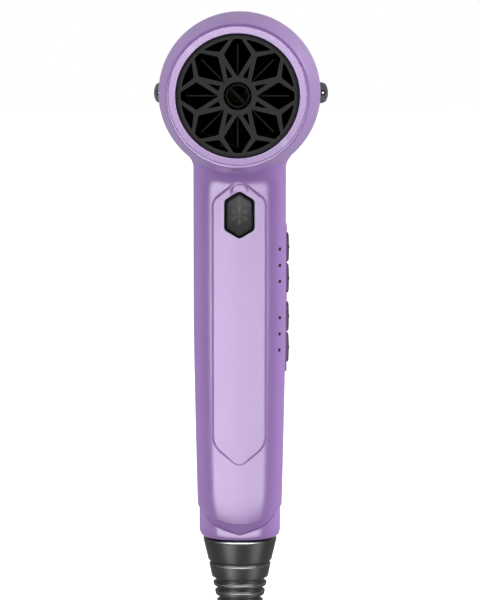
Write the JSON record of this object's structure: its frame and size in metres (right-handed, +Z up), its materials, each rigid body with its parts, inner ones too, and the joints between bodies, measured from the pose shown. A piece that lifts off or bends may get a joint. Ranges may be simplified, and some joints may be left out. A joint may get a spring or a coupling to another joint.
{
  "type": "hair dryer",
  "caption": "Compact hair dryer: tapered round barrel on a straight handle, flower-pattern outlet grille, cool-shot key, speed and heat rockers, pull-off filter and ribbed cord relief.",
  "frame": {"origin": "bottom centre of the bounding box: level with the tip of the strain relief, on the barrel's plane of symmetry, halfway between the outlet ring's front face and the back of the filter cover", "axes": "+Z up the handle to the barrel, -Y the way the air blows out of the barrel, +X the side of the two rockers"},
  "size_m": [0.0804, 0.128, 0.292],
  "materials": {
    "body_plastic": "satin lilac moulded plastic with a soft sheen",
    "outlet_trim": "satin light lilac moulded plastic",
    "key_plastic": "half-gloss black plastic",
    "black_plastic": "matt black glass-filled plastic",
    "relief_rubber": "half-matt black rubber",
    "mica": "pressed mica sheet, browned by heat",
    "heating_wire": "dull nickel-chrome wire",
    "steel": "bright steel",
    "iron": "dark laminated iron",
    "white_nylon": "natural nylon",
    "board": "green board lacquer",
    "capacitor_case": "blue epoxy",
    "copper_wire": "enamelled copper winding",
    "heatsink": "extruded aluminium",
    "red_lead": "red insulated lead",
    "white_lead": "white insulated lead"
  },
  "bodies": {
    "root": {"main_housing": "body_plastic", "handle_back_cover": "body_plastic", "cover_screw_upper": "steel", "cover_screw_lower": "steel", "handle_collar": "body_plastic", "strain_relief": "relief_rubber", "outlet_ring": "outlet_trim", "outlet_grille": "black_plastic", "heat_sleeve": "mica", "mica_centre_tube": "mica", "mica_fin_1": "mica", "mica_fin_2": "mica", "mica_fin_3": "mica", "mica_fin_4": "mica", "mica_fin_5": "mica", "mica_fin_6": "mica", "mica_fin_7": "mica", "mica_fin_8": "mica", "heater_coil_front": "heating_wire", "heater_coil_rear": "heating_wire", "thermal_fuse": "steel", "thermostat": "black_plastic", "motor_mount": "black_plastic", "duct_seal": "relief_rubber", "motor_can": "steel", "motor_end_bell": "black_plastic", "bearing_front": "steel", "bearing_rear": "steel", "stator_core": "iron", "key_bezel": "key_plastic", "cool_key_spring": "steel", "cool_switch_body": "black_plastic", "switch_plate": "body_plastic", "speed_rocker_pin": "steel", "speed_switch_body": "black_plastic", "heat_rocker_pin": "steel", "heat_switch_body": "black_plastic", "control_board": "board", "mains_capacitor": "capacitor_case", "choke_coil": "copper_wire", "triac_heatsink": "heatsink", "terminal_block": "white_nylon", "cord_clamp": "black_plastic", "heater_lead": "white_lead", "motor_lead": "red_lead", "mains_lead": "red_lead", "cool_switch_lead": "white_lead"},
    "fan": {"fan_impeller": "black_plastic", "motor_shaft": "steel", "rotor_magnet": "iron"},
    "filter": {"filter_frame": "black_plastic", "filter_mesh": "steel", "filter_cover": "body_plastic"},
    "cool_key": {"cool_key": "key_plastic", "cool_switch_plunger": "white_nylon"},
    "speed_rocker": {"speed_rocker": "key_plastic"},
    "speed_slider": {"speed_switch_slider": "white_nylon"},
    "heat_rocker": {"heat_rocker": "key_plastic"},
    "heat_slider": {"heat_switch_slider": "white_nylon"}
  },
  "joints": [
    {"name": "fan_spin", "type": "hinge", "parent": "root", "child": "fan", "pos_m": [0, -0.006, 0.256], "axis": [0, 1, 0], "continuous": true},
    {"name": "filter_pull", "type": "slide", "parent": "root", "child": "filter", "axis": [0, 1, 0], "range_m": [0, 0.03]},
    {"name": "cool_key_press", "type": "slide", "parent": "root", "child": "cool_key", "axis": [0, 1, 0], "range_m": [0, 0.002], "stiffness_N_per_m": 400, "springref_m": -0.002, "deforming": ["cool_key_spring"]},
    {"name": "speed_rock", "type": "hinge", "parent": "root", "child": "speed_rocker", "pos_m": [0.0168, 0.016, 0.1794], "axis": [0, 1, 0], "range_deg": [-7, 7]},
    {"name": "speed_slide", "type": "slide", "parent": "root", "child": "speed_slider", "axis": [0, 0, 1], "range_m": [-0.00052, 0.00052]},
    {"name": "heat_rock", "type": "hinge", "parent": "root", "child": "heat_rocker", "pos_m": [0.0168, 0.016, 0.148], "axis": [0, 1, 0], "range_deg": [-7, 7]},
    {"name": "heat_slide", "type": "slide", "parent": "root", "child": "heat_slider", "axis": [0, 0, 1], "range_m": [-0.00052, 0.00052]}
  ],
  "couplings": [
    {"joint": "speed_rock", "follows": "speed_slide", "rad_per_m": 232.56},
    {"joint": "heat_rock", "follows": "heat_slide", "rad_per_m": 232.56}
  ]
}
